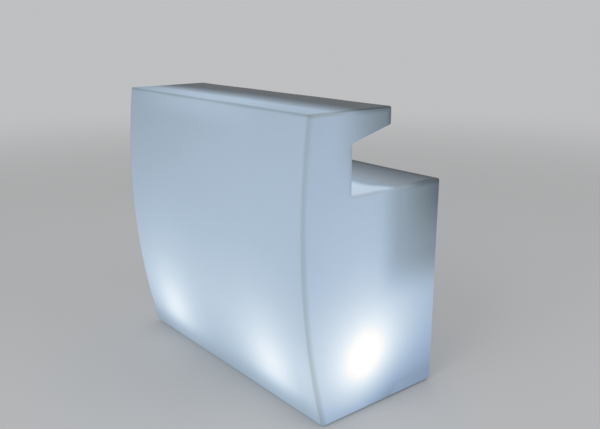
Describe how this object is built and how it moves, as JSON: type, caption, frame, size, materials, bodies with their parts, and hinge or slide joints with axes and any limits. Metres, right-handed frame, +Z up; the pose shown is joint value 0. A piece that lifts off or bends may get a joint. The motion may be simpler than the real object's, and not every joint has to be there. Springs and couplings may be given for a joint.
{
  "type": "illuminated bar counter",
  "caption": "Glowing bar counter: a hollow translucent moulding with a bowed front, overhanging top, lower worktop and rear storage niche, lit from inside.",
  "frame": {"origin": "on the ground, in the middle of the footprint", "axes": "+Z up, -Y the customer's side, +X along the counter to the customer's right"},
  "size_m": [1.2, 0.6569, 1.108],
  "materials": {
    "translucent_polyethylene": "satin moulded, translucent, lit from inside",
    "opal_globe": "opal, lit",
    "grey_plastic": "fine grained",
    "black_plastic": "fine grained",
    "rocker_plastic": "satin",
    "terminal_plastic": "moulded",
    "cable_sheath": "satin",
    "black_rubber": "matte",
    "foot_nylon": "moulded",
    "brass": "turned",
    "stainless_steel": "brushed",
    "zinc_steel": "zinc plated"
  },
  "bodies": {
    "counter": {"body_shell": "translucent_polyethylene", "hatch_screws": "stainless_steel", "hatch_inserts": "brass", "bracket_screws": "zinc_steel", "foot_inserts": "brass", "panel_plate": "grey_plastic", "panel_gasket": "black_rubber", "panel_screws": "stainless_steel", "panel_inserts": "brass", "inlet_housing": "black_plastic", "inlet_pins": "brass", "flap_hinge_pin": "stainless_steel", "switch_housing": "black_plastic", "back_box": "grey_plastic", "back_box_screws": "stainless_steel", "terminal_block": "terminal_plastic", "cable_glands": "black_plastic", "cable_clips": "black_plastic", "hatch_cover_left": "grey_plastic", "hatch_gasket_left": "black_rubber", "lamp_bracket_left": "zinc_steel", "lampholder_left": "black_plastic", "holder_nut_left": "black_plastic", "bulb_cap_left": "zinc_steel", "bulb_globe_left": "opal_globe", "lamp_cable_left": "cable_sheath", "hatch_cover_right": "grey_plastic", "hatch_gasket_right": "black_rubber", "lamp_bracket_right": "zinc_steel", "lampholder_right": "black_plastic", "holder_nut_right": "black_plastic", "bulb_cap_right": "zinc_steel", "bulb_globe_right": "opal_globe", "lamp_cable_right": "cable_sheath"},
    "switch_rocker": {"switch_rocker": "rocker_plastic"},
    "inlet_flap": {"inlet_flap": "black_plastic"},
    "foot_front_left": {"foot_pad_front_left": "foot_nylon", "foot_stem_front_left": "zinc_steel"},
    "foot_front_right": {"foot_pad_front_right": "foot_nylon", "foot_stem_front_right": "zinc_steel"},
    "foot_rear_left": {"foot_pad_rear_left": "foot_nylon", "foot_stem_rear_left": "zinc_steel"},
    "foot_rear_right": {"foot_pad_rear_right": "foot_nylon", "foot_stem_rear_right": "zinc_steel"}
  },
  "joints": [
    {"name": "foot_screw_front_left", "type": "slide", "parent": "counter", "child": "foot_front_left", "axis": [0, 0, -1], "range_m": [0, 0.015]},
    {"name": "foot_screw_front_right", "type": "slide", "parent": "counter", "child": "foot_front_right", "axis": [0, 0, -1], "range_m": [0, 0.015]},
    {"name": "foot_screw_rear_left", "type": "slide", "parent": "counter", "child": "foot_rear_left", "axis": [0, 0, -1], "range_m": [0, 0.015]},
    {"name": "foot_screw_rear_right", "type": "slide", "parent": "counter", "child": "foot_rear_right", "axis": [0, 0, -1], "range_m": [0, 0.015]},
    {"name": "switch_rock", "type": "hinge", "parent": "counter", "child": "switch_rocker", "pos_m": [0.034, 0.3105, 0.138], "axis": [1, 0, 0], "range_deg": [0, 14]},
    {"name": "inlet_flap_hinge", "type": "hinge", "parent": "counter", "child": "inlet_flap", "pos_m": [-0.026, 0.3201, 0.1665], "axis": [1, 0, 0], "range_deg": [0, 105]}
  ]
}
